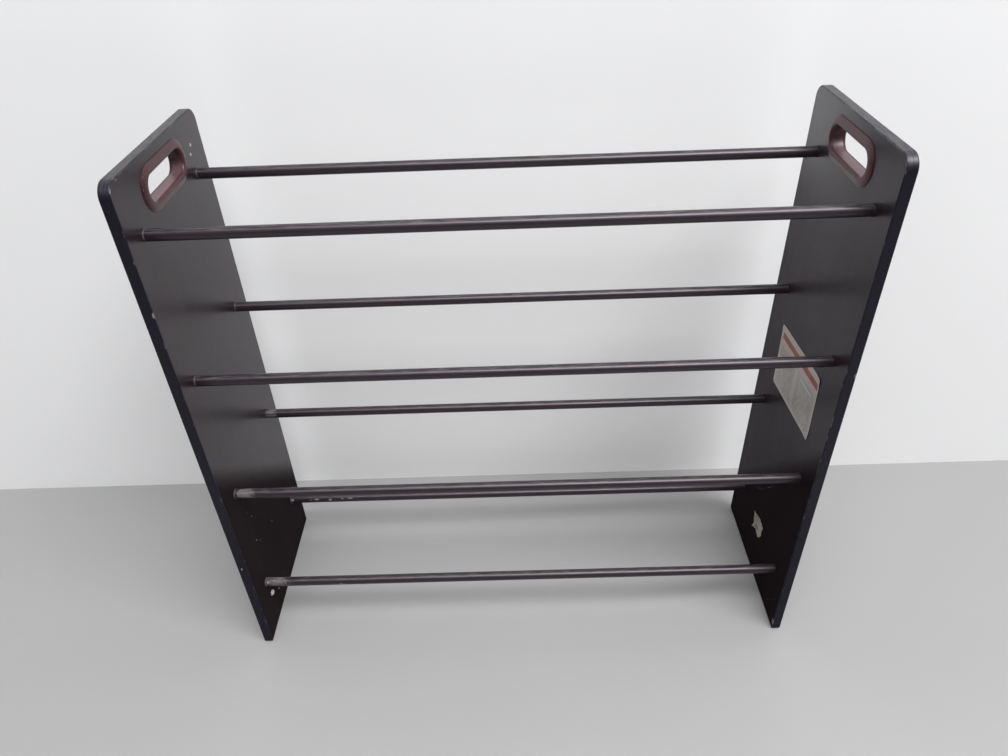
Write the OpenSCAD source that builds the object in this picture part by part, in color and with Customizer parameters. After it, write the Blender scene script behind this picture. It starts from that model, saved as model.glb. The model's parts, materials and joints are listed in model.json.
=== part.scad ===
// Open shoe rack: two board side panels joined by four pairs of round steel rails.
// Units are millimetres. X runs along the rails, Y from front to back, Z up.
// The origin is on the floor, midway between the panels and midway front to back.

/* [Overall] */
// Width over the outer faces of the side panels
rack_w = 750; // [400:5:1000]
// Depth of a side panel, front edge to rear edge
rack_d = 240; // [220:2:320]
// Height from the floor to the top edge of a side panel
rack_h = 700; // [640:5:900]

/* [Side panels] */
// Thickness of the board
panel_t = 12; // [11:0.5:18]
// Outer radius of the two top corners
corner_r = 16; // [8:1:40]
// Thickness of the edge band along the front, top and rear edges
band_t = 2; // [1:0.25:3]
// Radius that eases the two long corners of the edge band
band_round = 1.2; // [0.4:0.1:1.8]

/* [Rails] */
// Outside diameter of a rail tube
rail_d = 13; // [12.5:0.5:16]
// Wall thickness of a rail tube
rail_wall = 0.8; // [0.6:0.1:0.9]
// Distance from the front and rear edges of a panel to the middle of a rail
rail_inset = 38; // [28:1:60]
// Height of the bottom tier's rails above the floor
bottom_tier_z = 88; // [50:1:120]
// Rise from the bottom tier to the lower tier
first_rise = 178; // [120:1:180]
// Rise from the lower tier to the upper tier
tier_rise = 183; // [120:1:185]
// Drop from the top edge of a panel to the middle of the top tier's rails
top_tier_drop = 68; // [50:1:90]

/* [Hand slots] */
// Clear length of the hand slot
slot_l = 98; // [70:1:120]
// Clear height of the hand slot, which has full round ends
slot_h = 28; // [22:1:32]
// Drop from the top edge of the panel to the middle of the slot
slot_drop = 37; // [34:1:60]
// Width of the grip's rim around the slot
rim_w = 11; // [9:0.5:14]
// Height of the rim's crest above the board
rim_proud = 3.2; // [2.6:0.1:4]
// Height of the rim's outer edge above the board
rim_edge = 0.7; // [0.4:0.1:1.2]
// Radius that rolls the rim into the slot
lip_r = 3; // [2:0.1:3.2]
// Wall of the hollow rim
rim_wall = 1.5; // [1:0.1:1.8]
// Wall of the inner grip's liner, which shows inside the slot
liner_t = 1.6; // [1.2:0.1:2]
// Wall of the outer grip's sleeve, which holds the liner
sleeve_t = 1.4; // [1:0.1:1.8]
// Pockets under the rim along each straight side
side_pockets = 5; // [3:1:8]
// Pockets under the rim around each round end
end_pockets = 4; // [2:1:6]
// Thickness of the ribs between the pockets
rib_t = 1.1; // [0.8:0.1:1.6]
// Solid land between a grip's wall and the pockets
pocket_land = 0.6; // [0.4:0.1:1]

/* [Snap catches] */
// Distance between the two catches on each long side
catch_pitch = 40; // [25:1:50]
// Length of a catch along the slot
catch_l = 7; // [4:0.5:10]
// Depth of a catch, from its ramp's tip to its locking face
catch_depth = 2.4; // [1.6:0.1:3]
// Distance from the board's inner face to the locking face of a catch
catch_set = 4.5; // [3:0.5:6]
// How far a catch stands out of the liner
catch_proud = 0.9; // [0.5:0.1:1.1]

/* [Rail plugs] */
// How far the plug's flange stands out past the rail, all round
flange_over = 0.3; // [0:0.1:2]
// Thickness of the plug's flange
flange_t = 1.6; // [1:0.1:3]
// Solid length between the flange and the nut
plug_web = 6.4; // [4:0.2:10]
// Length of the plug's body inside the rail
plug_l = 11; // [10.6:0.2:18]
// Number of barbed rings that grip the rail
barbs = 3; // [2:1:4]
// Length of one barbed ring
barb_l = 1.6; // [1:0.1:2]
// Height of a barb above the body
barb_h = 0.3; // [0.1:0.05:0.4]

/* [Bolts and nuts] */
// Nominal diameter of the bolt
bolt_d = 5; // [4:0.5:5]
// Diameter of the bolt's low round head
head_d = 12; // [9:0.5:16]
// Height of the head
head_h = 2.6; // [2.2:0.1:4]
// Height of the head's cylindrical edge below its dome
head_edge = 0.9; // [0.5:0.1:1.5]
// Width across the flats of the hexagon socket
socket_af = 3; // [2:0.5:4]
// Depth of the hexagon socket
socket_depth = 1.8; // [1:0.1:2]
// Width across the flats of the nut
nut_af = 8; // [7:0.5:8]
// Thickness of the nut
nut_t = 4; // [2.5:0.1:4.2]
// Length of bolt that stands past the nut
bolt_tip = 1; // [0.5:0.5:3]

/* [Glides] */
// Diameter of a glide's disc
glide_d = 10; // [7:0.5:11]
// Height of a glide, which lifts the panel off the floor
glide_h = 2.5; // [1.5:0.5:6]
// Distance from the end of a panel to the middle of a glide
glide_inset = 25; // [12:1:50]
// Diameter of the glide's nail
nail_d = 1.8; // [1.2:0.1:2.5]
// Length of nail inside the board
nail_l = 14; // [8:1:20]

/* [Fits] */
// Gap between the liner and the sleeve
grip_gap = 0.2; // [0.1:0.05:0.3]
// Gap between the sleeve and the cut-out in the board
cutout_gap = 0.3; // [0.1:0.05:0.5]
// Gap at the free end of the liner and of the sleeve
end_gap = 0.4; // [0.2:0.1:1]
// Gap between a catch and the edges of its window
window_gap = 0.3; // [0.2:0.1:0.6]
// Gap between the barbs and the bore of the rail
barb_gap = 0.05; // [0.02:0.01:0.15]
// Gap around the bolt in the board and in the plug
bolt_gap = 0.25; // [0.1:0.05:0.4]
// Gap around the nut in its pocket
nut_gap = 0.1; // [0.05:0.05:0.15]
// Gap between the bolt's thread and the nut
thread_gap = 0.05; // [0.02:0.01:0.1]

/* [Hidden] */
$fn = 72;

// Names of the tiers from the floor up, and of the two rows of rails
TIERS = ["bottom", "lower", "upper", "top"];
ROWS = ["front", "rear"];
SIDES = ["left", "right"];

board_colour = [0.15, 0.13, 0.13];
band_colour = [0.20, 0.19, 0.21];
grip_colour = [0.28, 0.12, 0.12];
rail_colour = [0.17, 0.14, 0.14];
plug_colour = [0.45, 0.43, 0.43];
steel_colour = [0.62, 0.62, 0.64];
glide_colour = [0.08, 0.08, 0.08];

// Places worked out from the sizes above
inner_x = rack_w / 2 - panel_t;
panel_z = glide_h;
panel_h = rack_h - panel_z;
slot_z = rack_h - slot_drop;
tier_z = [
    bottom_tier_z,
    bottom_tier_z + first_rise,
    bottom_tier_z + first_rise + tier_rise,
    rack_h - top_tier_drop
];
row_y = [-(rack_d / 2 - rail_inset), rack_d / 2 - rail_inset];
glide_y = [-(rack_d / 2 - glide_inset), rack_d / 2 - glide_inset];

// The slot and what lines it, each layer outside the last
slot_r = slot_h / 2;
slot_run = slot_l - slot_h;
sleeve_r = slot_r + liner_t + grip_gap;
cutout_r = sleeve_r + sleeve_t + cutout_gap;
crest_r = slot_r + lip_r;
// Radius of the arc that falls from the crest to the rim's outer edge
rim_drop = rim_proud - rim_edge;
rim_run = rim_w - lip_r;
dome_r = (rim_run * rim_run + rim_drop * rim_drop) / (2 * rim_drop);

// Rail bore, plug and fastener stack
rail_bore = rail_d - 2 * rail_wall;
flange_d = rail_d + 2 * flange_over;
rail_l = 2 * (inner_x - flange_t);
plug_body_r = rail_bore / 2 - barb_gap - barb_h;
plug_chamfer = 0.8;
// Plain body before the first barb and past the last one
barb_margin = 1;
bolt_hole = bolt_d + 2 * bolt_gap;
bolt_l = panel_t + flange_t + plug_web + nut_t + bolt_tip;
nut_chamfer = 0.6;

// Eased lower edge of a glide, and the point of its nail
glide_chamfer = 0.8;
nail_tip = 1;

// Cuts run this much past the face that they open
past = 1;

// Turns a shape so that its X runs along Y, its Y up and its Z along X
module face_x() {
    rotate([90, 0, 90]) children();
}

// Draws a left side as it is and a right side as its mirror image
module on_side(side) {
    if (side == "left") children();
    else mirror([1, 0, 0]) children();
}

// A rectangle that stands on the X axis, with its two top corners rounded
module arched(w, h, r) {
    translate([-w / 2, 0]) square([w, h - r]);
    translate([-w / 2 + r, 0]) square([w - 2 * r, h]);
    for (s = [-1, 1]) translate([s * (w / 2 - r), h - r]) circle(r);
}

// An oblong with full round ends, given its straight run and its end radius
module oblong(run, r) {
    square([run, 2 * r], center = true);
    for (s = [-1, 1]) translate([s * run / 2, 0]) circle(r);
}

// Board with rounded top corners, less the edge band's thickness, with the
// cut-out for the grip and a clearance hole for each bolt
module side_panel(side) {
    color(board_colour) on_side(side) difference() {
        translate([-inner_x - panel_t, 0, panel_z]) face_x() linear_extrude(panel_t)
            arched(rack_d - 2 * band_t, panel_h - band_t, corner_r - band_t);
        translate([-inner_x - panel_t - past, 0, slot_z]) face_x()
            linear_extrude(panel_t + 2 * past) oblong(slot_run, cutout_r);
        for (y = row_y, z = tier_z) translate([-inner_x - panel_t - past, y, z])
            rotate([0, 90, 0]) cylinder(h = panel_t + 2 * past, d = bolt_hole);
        for (y = glide_y) translate([-inner_x - panel_t / 2, y, panel_z - past])
            cylinder(h = nail_l + past, d = nail_d);
    }
}

// Cross-section of the band: X outwards from the board, Y across its thickness
module band_section(x0) {
    translate([x0, 0]) square([band_t - band_round, panel_t]);
    translate([x0, band_round]) square([band_t, panel_t - 2 * band_round]);
    for (y = [band_round, panel_t - band_round])
        translate([x0 + band_t - band_round, y]) circle(band_round);
}

// Keeps the part of a section that lies outwards of x0
module trimmed_band_section(x0) {
    intersection() {
        band_section(x0);
        translate([x0, 0]) square([band_t, panel_t]);
    }
}

// One strip that runs up the front edge, over the top and down the rear edge
module edge_band(side) {
    leg = panel_h - corner_r;
    color(band_colour) on_side(side) translate([-inner_x - panel_t, 0, panel_z]) face_x() {
        for (s = [0, 1]) mirror([s, 0, 0]) {
            translate([rack_d / 2 - band_t, 0, 0]) rotate([90, 0, 0]) mirror([0, 0, 1])
                linear_extrude(leg) trimmed_band_section(0);
            translate([rack_d / 2 - corner_r, leg, 0])
                rotate_extrude(angle = 90) trimmed_band_section(corner_r - band_t);
        }
        translate([-(rack_d / 2 - corner_r), panel_h - band_t, 0])
            rotate([90, 0, 90]) linear_extrude(rack_d - 2 * corner_r) trimmed_band_section(0);
    }
}

// Sweeps a section once round an oblong: X of the section points away from the slot
module sweep_oblong(run) {
    for (s = [0, 1]) rotate([0, 0, 180 * s]) {
        translate([run / 2, 0, 0]) rotate([0, 0, -90]) rotate_extrude(angle = 180) children();
        translate([-run / 2, 0, 0]) rotate([90, 0, 90]) linear_extrude(run) children();
    }
}

// Section of the rim above the board, at a depth below its outer skin
module rim_section(depth) {
    intersection() {
        union() {
            translate([crest_r, rim_proud - lip_r]) circle(lip_r - depth);
            translate([slot_r + depth, -past]) square([lip_r - depth, rim_proud - lip_r + past]);
            intersection() {
                translate([crest_r, rim_proud - dome_r]) circle(dome_r - depth);
                translate([crest_r, -past]) square([rim_run - depth, rim_proud + 2 * past]);
            }
        }
        translate([slot_r, depth > 0 ? -past : 0]) square([rim_w, rim_proud + 2 * past]);
    }
}

// Section of one grip half: the rim, and the wall that reaches down through the board
module grip_section(wall_r, wall_t) {
    rim_section(0);
    translate([wall_r, end_gap - panel_t]) square([wall_t, panel_t - end_gap + rim_edge / 2]);
}

// Pockets that hollow the rim from below and leave ribs between them
module rim_pockets(start_r) {
    side_l = (slot_run - (side_pockets + 1) * rib_t) / side_pockets;
    // The ribs round an end are measured at the middle of the rim
    rib_angle = rib_t / (slot_r + rim_w / 2) * 180 / PI;
    end_angle = (180 - (end_pockets + 1) * rib_angle) / end_pockets;
    for (s = [0, 1]) rotate([0, 0, 180 * s]) {
        for (i = [0 : side_pockets - 1])
            translate([-slot_run / 2 + rib_t + i * (side_l + rib_t), 0, 0])
                rotate([90, 0, 90]) linear_extrude(side_l) pocket_section(start_r);
        for (i = [0 : end_pockets - 1])
            translate([slot_run / 2, 0, 0])
                rotate([0, 0, -90 + rib_angle + i * (end_angle + rib_angle)])
                    rotate_extrude(angle = end_angle) pocket_section(start_r);
    }
}

// Section of a pocket: what lies inside the rim's skin, from start_r outwards
module pocket_section(start_r) {
    intersection() {
        rim_section(rim_wall);
        translate([start_r, -past]) square([rim_w, rim_proud + 2 * past]);
    }
}

// One grip half: a hollow rim that lies on the board, and its wall in the cut-out
module grip_half(wall_r, wall_t) {
    difference() {
        sweep_oblong(slot_run) grip_section(wall_r, wall_t);
        rim_pockets(wall_r + wall_t + pocket_land);
    }
}

// Places its children at the four catches
module at_catches() {
    for (x = [-catch_pitch / 2, catch_pitch / 2], s = [0, 1])
        mirror([0, s, 0]) translate([x, slot_r + liner_t, -catch_set]) children();
}

// Ramp that rises towards its locking face
module catch() {
    translate([-catch_l / 2, 0, 0]) rotate([90, 0, 90]) linear_extrude(catch_l)
        polygon([[-liner_t / 2, 0], [catch_proud, 0], [0, -catch_depth], [-liner_t / 2, -catch_depth]]);
}

// Inner half of the grip: rim on the shoe side, liner through the board, catches
module grip_inner(side) {
    color(grip_colour) on_side(side) translate([-inner_x, 0, slot_z]) face_x() {
        grip_half(slot_r, liner_t);
        at_catches() catch();
    }
}

// Outer half of the grip: rim on the outer face and a sleeve with a window for each catch
module grip_outer(side) {
    window = catch_l + 2 * window_gap;
    color(grip_colour) on_side(side) difference() {
        translate([-inner_x - panel_t, 0, slot_z]) mirror([1, 0, 0]) face_x()
            grip_half(sleeve_r, sleeve_t);
        translate([-inner_x, 0, slot_z]) face_x() at_catches()
            translate([-window / 2, 0, -catch_depth - window_gap])
                cube([window, grip_gap + sleeve_t + past / 2, catch_depth + 2 * window_gap]);
    }
}

// Steel tube, cut square, held between the flanges of its two plugs
module rail(tier, row) {
    color(rail_colour) translate([-rail_l / 2, row_y[row], tier_z[tier]]) rotate([0, 90, 0])
        difference() {
            cylinder(h = rail_l, d = rail_d);
            translate([0, 0, -past]) cylinder(h = rail_l + 2 * past, d = rail_bore);
        }
}

// Plug: flange against the board, barbed body in the tube, hexagon pocket for the nut
module plug(tier, row, side) {
    color(plug_colour) on_side(side) translate([-inner_x, row_y[row], tier_z[tier]])
        rotate([0, 90, 0]) difference() {
            union() {
                cylinder(h = flange_t, d = flange_d);
                cylinder(h = flange_t + plug_l - plug_chamfer, r = plug_body_r);
                translate([0, 0, flange_t + plug_l - plug_chamfer])
                    cylinder(h = plug_chamfer, r1 = plug_body_r, r2 = plug_body_r - plug_chamfer / 2);
                for (i = [0 : barbs - 1])
                    translate([0, 0, flange_t + barb_margin + i * (plug_l - 2 * barb_margin) / barbs])
                        cylinder(h = barb_l, r1 = plug_body_r + barb_h, r2 = plug_body_r);
            }
            translate([0, 0, -past]) cylinder(h = flange_t + plug_l + 2 * past, d = bolt_hole);
            translate([0, 0, flange_t + plug_web])
                hexagon(nut_af + 2 * nut_gap, plug_l - plug_web + past);
        }
}

// Prism with six sides, given its width across the flats
module hexagon(af, h) {
    cylinder(h = h, d = af / cos(30), $fn = 6);
}

// Low domed head with a hexagon socket, and a plain shank for the threads
module bolt() {
    dome = head_h - head_edge;
    ball_r = (head_d * head_d / 4 + dome * dome) / (2 * dome);
    difference() {
        union() {
            cylinder(h = bolt_l, d = bolt_d - 2 * thread_gap);
            intersection() {
                translate([0, 0, -head_h]) cylinder(h = head_h, d = head_d);
                translate([0, 0, ball_r - head_h]) sphere(ball_r);
            }
        }
        translate([0, 0, -head_h - past]) hexagon(socket_af, socket_depth + past);
    }
}

// Hexagon nut with both faces chamfered
module nut() {
    across = nut_af / cos(30);
    difference() {
        intersection() {
            hexagon(nut_af, nut_t);
            union() {
                cylinder(h = nut_chamfer, d1 = across - 2 * nut_chamfer, d2 = across);
                translate([0, 0, nut_chamfer]) cylinder(h = nut_t - 2 * nut_chamfer, d = across);
                translate([0, 0, nut_t - nut_chamfer])
                    cylinder(h = nut_chamfer, d1 = across, d2 = across - 2 * nut_chamfer);
            }
        }
        translate([0, 0, -past]) cylinder(h = nut_t + 2 * past, d = bolt_d);
    }
}

// Bolts of one side, heads on the outer face of the board
module bolts(side) {
    color(steel_colour) on_side(side) for (y = row_y, z = tier_z)
        translate([-inner_x - panel_t, y, z]) rotate([0, 90, 0]) bolt();
}

// Nuts of one side, each against the end of its plug's web
module nuts(side) {
    color(steel_colour) on_side(side) for (y = row_y, z = tier_z)
        translate([-inner_x + flange_t + plug_web, y, z]) rotate([0, 90, 0]) nut();
}

// Nail-on glide under the end of a panel
module glide(row, side) {
    color(glide_colour) on_side(side)
        translate([-inner_x - panel_t / 2, glide_y[row], 0]) {
            cylinder(h = glide_chamfer, d1 = glide_d - 2 * glide_chamfer, d2 = glide_d);
            translate([0, 0, glide_chamfer]) cylinder(h = glide_h - glide_chamfer, d = glide_d);
            translate([0, 0, glide_h]) cylinder(h = nail_l - nail_tip, d = nail_d);
            translate([0, 0, glide_h + nail_l - nail_tip])
                cylinder(h = nail_tip, d1 = nail_d, d2 = nail_d / 3);
        }
}

for (side = SIDES) {
    side_panel(side);
    edge_band(side);
    grip_inner(side);
    grip_outer(side);
    bolts(side);
    nuts(side);
}
for (tier = [0 : len(TIERS) - 1], row = [0, 1]) {
    name = str(TIERS[tier], "_", ROWS[row]);
    rail(tier, row);
    for (side = SIDES)
        plug(tier, row, side);
}
for (row = [0, 1], side = SIDES)
    glide(row, side);
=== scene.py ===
# %% [markdown]
# # An open shoe rack in dark board and brown steel tube
#
# Two upright panels of dark filmed board stand at the ends of the rack, and eight
# round steel rails run between them in four tiers. Each panel has a hand slot
# lined with a maroon plastic grip. The construction is already modelled to size,
# so this lesson loads it as a fixed frame and dresses it: a finish for every
# piece, the papers stuck on one panel, the marks that years of use leave, and a
# small studio to photograph it in.

# Nothing that is added later may make the rack larger.

import json
import math

import bmesh
import bpy
from mathutils import Matrix, Vector, noise

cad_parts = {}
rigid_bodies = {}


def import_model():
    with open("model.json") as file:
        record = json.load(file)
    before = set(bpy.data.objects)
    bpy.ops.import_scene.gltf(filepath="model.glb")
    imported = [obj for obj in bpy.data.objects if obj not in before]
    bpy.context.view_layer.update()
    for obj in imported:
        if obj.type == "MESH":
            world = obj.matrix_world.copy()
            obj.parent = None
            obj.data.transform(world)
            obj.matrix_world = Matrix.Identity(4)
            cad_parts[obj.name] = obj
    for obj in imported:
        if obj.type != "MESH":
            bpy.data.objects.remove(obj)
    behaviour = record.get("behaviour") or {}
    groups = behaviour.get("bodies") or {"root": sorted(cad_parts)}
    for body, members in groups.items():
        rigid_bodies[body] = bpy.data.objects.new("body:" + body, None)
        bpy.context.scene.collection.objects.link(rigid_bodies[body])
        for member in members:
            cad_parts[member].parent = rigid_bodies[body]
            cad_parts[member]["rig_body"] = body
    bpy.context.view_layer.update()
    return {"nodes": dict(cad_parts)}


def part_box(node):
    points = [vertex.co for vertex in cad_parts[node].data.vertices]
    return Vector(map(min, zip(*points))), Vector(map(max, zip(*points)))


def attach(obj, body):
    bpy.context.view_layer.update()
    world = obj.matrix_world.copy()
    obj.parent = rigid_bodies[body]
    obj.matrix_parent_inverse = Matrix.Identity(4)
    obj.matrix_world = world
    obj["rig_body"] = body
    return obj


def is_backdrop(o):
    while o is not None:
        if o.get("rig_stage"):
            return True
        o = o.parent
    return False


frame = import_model()

# %% [markdown]
# ## Places that the lesson comes back to
#
# Every place below is read from the frame instead of being typed in, so the
# added pieces stay where they belong. The inner faces of the two panels carry
# the papers and most of the wear. Both panels stand equally far from the middle, so
# one inner and one outer distance serve wherever the side doesn't matter. The rails
# are known by tier and row.

# %% Read places from the frame
SIDES = ("left", "right")
TIERS = ("bottom", "lower", "upper", "top")
ROWS = ("front", "rear")
MM = 0.001

left_low, left_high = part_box("side_panel_left")
right_low, right_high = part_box("side_panel_right")
INNER_FACE = {"left": left_high.x, "right": right_low.x}
INNER, OUTER = right_low.x, right_high.x
PANEL_BOTTOM = left_low.z
band_low, band_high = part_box("edge_band_left")
FRONT_EDGE, TOP_EDGE = band_low.y, band_high.z
grip_low, grip_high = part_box("grip_inner_left")
SLOT_MIDDLE = (grip_low.z + grip_high.z) / 2

rail_axis = {}
for tier in TIERS:
    for row in ROWS:
        low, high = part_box(f"rail_{tier}_{row}")
        rail_axis[tier, row] = (low + high) / 2
        rail_end, rail_radius = high.x, (high.z - low.z) / 2
print("inner faces at x =", INNER_FACE, "rail radius", round(rail_radius, 4))

# %% [markdown]
# ## The camera
#
# The photograph was taken by someone who stood close to the rack and looked down
# on it, so the panels fan out strongly towards the top of the picture. The camera
# has to stand where the photographer stood, with a wide lens. It is turned in three
# steps: down, sideways, and a small tilt about its own axis, because the picture
# isn't quite level.

# %% Set up the camera
CAMERA_PLACE = (0.0048, -0.7746, 0.9541)
CAMERA_DOWN = math.radians(36.605)
CAMERA_ASIDE = math.radians(1.158)
CAMERA_TILT = math.radians(-2.473)
CAMERA_LENS = 26.815

camera_data = bpy.data.cameras.new("camera")
camera_data.sensor_width = 36.0
camera_data.lens = CAMERA_LENS
camera = bpy.data.objects.new("camera", camera_data)
bpy.context.scene.collection.objects.link(camera)
turned = (
    Matrix.Rotation(CAMERA_ASIDE, 3, "Z")
    @ Matrix.Rotation(math.pi / 2 - CAMERA_DOWN, 3, "X")
    @ Matrix.Rotation(CAMERA_TILT, 3, "Z")
)
camera.rotation_euler = turned.to_euler()
camera.location = CAMERA_PLACE
bpy.context.scene.camera = camera
print("camera at", CAMERA_PLACE, "with a lens of", CAMERA_LENS, "mm")

# %% [markdown]
# ## Helpers for materials
#
# A node material is easier to read as a short list of calls than as dozens of
# loose statements. One helper adds a node and fills its inputs, where an input
# may be a number or the output of another node. The others stand for what is used
# most, such as a product, a soft threshold, a noise, a mix of two colours, or a node
# group.

# %% Node helpers
ORIGIN = (0.0, 0.0, 0.0)


def add_node(tree, kind, inputs=None, **settings):
    """Adds a shader node, sets its properties, and fills or links its inputs."""
    node = tree.nodes.new("ShaderNode" + kind)
    for name, value in settings.items():
        setattr(node, name, value)
    for key, value in (inputs or {}).items():
        if isinstance(value, bpy.types.NodeSocket):
            tree.links.new(value, node.inputs[key])
        else:
            node.inputs[key].default_value = value
    return node


def calculate(tree, operation, a, b=0.0, clamp=False):
    """The result of one Math node."""
    return add_node(tree, "Math", {0: a, 1: b}, operation=operation, use_clamp=clamp).outputs[0]


def minus(tree, a, b):
    """The difference of two values."""
    return calculate(tree, "SUBTRACT", a, b)


def join(tree, operation, values, clamp=False):
    """Joins several values by the same operation, one after the other."""
    joined, *others = values
    for value in others:
        joined = calculate(tree, operation, joined, value, clamp)
    return joined


def times(tree, *values):
    """The product of several values."""
    return join(tree, "MULTIPLY", values)


def plus(tree, *values, clamp=False):
    """The sum of several values. None of them may be negative if it is clamped."""
    return join(tree, "ADD", values, clamp)


def largest(tree, *masks):
    """The largest of several masks, which lays them over each other."""
    return join(tree, "MAXIMUM", masks)


def vector_of(tree, operation, a, b=ORIGIN):
    """The vector that one Vector Math node gives."""
    return add_node(tree, "VectorMath", {0: a, 1: b}, operation=operation).outputs["Vector"]


def number_of(tree, operation, a, b=ORIGIN):
    """The number that one Vector Math node gives, such as a length."""
    return add_node(tree, "VectorMath", {0: a, 1: b}, operation=operation).outputs["Value"]


def soft_step(tree, value, start, stop, low=0.0, high=1.0):
    """Goes smoothly from low to high as value goes from start to stop."""
    inputs = {"Value": value, "From Min": start, "From Max": stop, "To Min": low, "To Max": high}
    return add_node(tree, "MapRange", inputs, interpolation_type="SMOOTHSTEP").outputs["Result"]


def mix_colour(tree, mask, under, over):
    """Lays one colour over another through a mask. A Mix node's colours are sockets 6 and 7."""
    return add_node(tree, "Mix", {0: mask, 6: under, 7: over}, data_type="RGBA").outputs[2]


def noise_of(tree, place, scale, detail, **more):
    """The value of a Noise Texture node, which hovers about a half."""
    inputs = {"Vector": place, "Scale": scale, "Detail": detail, **more}
    return add_node(tree, "TexNoise", inputs).outputs["Fac"]


def wobble(tree, place, scale, detail, reach):
    """A place shifted by noise, by up to half the reach along each axis."""
    shift = add_node(tree, "TexNoise", {"Vector": place, "Scale": scale, "Detail": detail})
    shift = vector_of(tree, "SUBTRACT", shift.outputs["Color"], (0.5, 0.5, 0.5))
    return vector_of(tree, "ADD", place, vector_of(tree, "MULTIPLY", shift, reach))


def new_group(name, **inputs):
    """A node group and what it is given. In a label an underscore stands for a blank."""
    group = bpy.data.node_groups.new(name, "ShaderNodeTree")
    for label, default in inputs.items():
        kind = "NodeSocketVector" if isinstance(default, tuple) else "NodeSocketFloat"
        socket = group.interface.new_socket(label.replace("_", " "), in_out="INPUT", socket_type=kind)
        socket.default_value = default
    return group, group.nodes.new("NodeGroupInput").outputs


def close_group(group, **results):
    """Gives a node group its results as outputs of the same names, which finishes it."""
    for label in results:
        group.interface.new_socket(label, in_out="OUTPUT", socket_type="NodeSocketFloat")
    end = group.nodes.new("NodeGroupOutput")
    for label, value in results.items():
        group.links.new(value, end.inputs[label])
    print("group", group.name, "has", len(group.nodes), "nodes")
    return group


print("node helpers ready")

# %% [markdown]
# ## Effect 1: the grain printed in the film
#
# The panels aren't solid wood. They are particle board under a thin dark film that
# has a faint upright wood grain printed and pressed into it. Stretching noise along
# the height gives the fibres, and a slow sideways wander keeps them from being
# ruler-straight. The effect is a node group, so other finishes can use it with
# their own numbers.

# %% Grain group
STRETCH = 0.03
WANDER = 0.006

group, given = new_group("upright_grain", Vector=ORIGIN, Fibre_Scale=420.0, Figure_Scale=22.0)
place = wobble(group, given["Vector"], 5.0, 1.0, (WANDER, WANDER, 0.0))
place = vector_of(group, "MULTIPLY", place, (1.0, 1.0, STRETCH))
fibres = noise_of(group, place, given["Fibre Scale"], 4.0, Roughness=0.65)
figure = noise_of(group, place, given["Figure Scale"], 2.0, Distortion=0.6)
shade = soft_step(group, plus(group, fibres, figure), 0.75, 1.25)
grain_group = close_group(group, Shade=shade, Height=soft_step(group, fibres, 0.38, 0.52))

# %% [markdown]
# ## Effect 2: specks
#
# Dust, lime and tiny paint spots lie scattered low on the rack. Voronoi cells give
# one dot for each cell, and the random colour of a cell decides whether its dot is
# there at all, so the dots are sparse and uneven as real ones are. A finish gives
# the scale, the share of cells that have a dot, and its size.

# %% Specks group
group, given = new_group("specks", Vector=ORIGIN, Scale=90.0, Share=0.1, Size=0.1)
place = wobble(group, given["Vector"], 900.0, 2.0, (MM, MM, MM))
cells = add_node(group, "TexVoronoi", {"Vector": place, "Scale": given["Scale"]}).outputs
chance = add_node(group, "SeparateColor", {"Color": cells["Color"]}).outputs
present = calculate(group, "LESS_THAN", chance["Red"], given["Share"])
size = times(group, given["Size"], chance["Green"])
dot = soft_step(group, minus(group, size, cells["Distance"]), 0.0, 0.02)
specks_group = close_group(group, Mask=times(group, dot, present))

# %% [markdown]
# ## Effect 3: a scratch
#
# A scratch is a line from one point to another. The group measures how far each
# point of the surface is from that line, keeps what is nearer than the width, and
# lets noise break the line up, because something sharp skips as it scratches.

# %% Scratch group
group, given = new_group("scratch", Vector=ORIGIN, Start=ORIGIN, End=ORIGIN, Width=0.5 * MM, Breaks=0.5)
place = wobble(group, given["Vector"], 60.0, 2.0, (3 * MM, 3 * MM, 3 * MM))
from_start = vector_of(group, "SUBTRACT", place, given["Start"])
whole = vector_of(group, "SUBTRACT", given["End"], given["Start"])
along = number_of(group, "DOT_PRODUCT", from_start, whole)
length_squared = number_of(group, "DOT_PRODUCT", whole, whole)
share = calculate(group, "DIVIDE", along, length_squared, clamp=True)
nearest = add_node(group, "VectorMath", {0: whole, "Scale": share}, operation="SCALE")
to_line = vector_of(group, "SUBTRACT", from_start, nearest.outputs["Vector"])
line = soft_step(group, number_of(group, "LENGTH", to_line), given["Width"], 0.0)
skips = noise_of(group, given["Vector"], 250.0, 3.0)
kept = soft_step(group, skips, given["Breaks"], plus(group, given["Breaks"], 0.08))
scratch_group = close_group(group, Mask=times(group, line, kept))

# %% [markdown]
# ## Effect 4: a worn patch
#
# Scuffs, chips and rubbed corners are all patches: strong in the middle, torn at
# the rim. Dividing by a radius for each direction makes the patch an ellipsoid, and
# noise of the patch's own grain size eats into its rim.

# %% Patch group
RADII = (0.01, 0.01, 0.01)
group, given = new_group("worn_patch", Vector=ORIGIN, Centre=ORIGIN, Radius=RADII, Grain=300.0, Torn=1.0)
offset = vector_of(group, "SUBTRACT", given["Vector"], given["Centre"])
inside = number_of(group, "LENGTH", vector_of(group, "DIVIDE", offset, given["Radius"]))
bite = minus(group, noise_of(group, given["Vector"], given["Grain"], 4.0, Roughness=0.7), 0.5)
bite = times(group, bite, given["Torn"], 3.0)
patch_group = close_group(group, Mask=soft_step(group, plus(group, inside, bite), 1.0, 0.7))

# %% [markdown]
# ## Effect 5: handling marks
#
# A surface that has been wiped and gripped for years is never evenly glossy. Two
# sizes of soft noise give a value around a half that the finishes use to vary
# their roughness, and a little to vary their colour.

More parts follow.
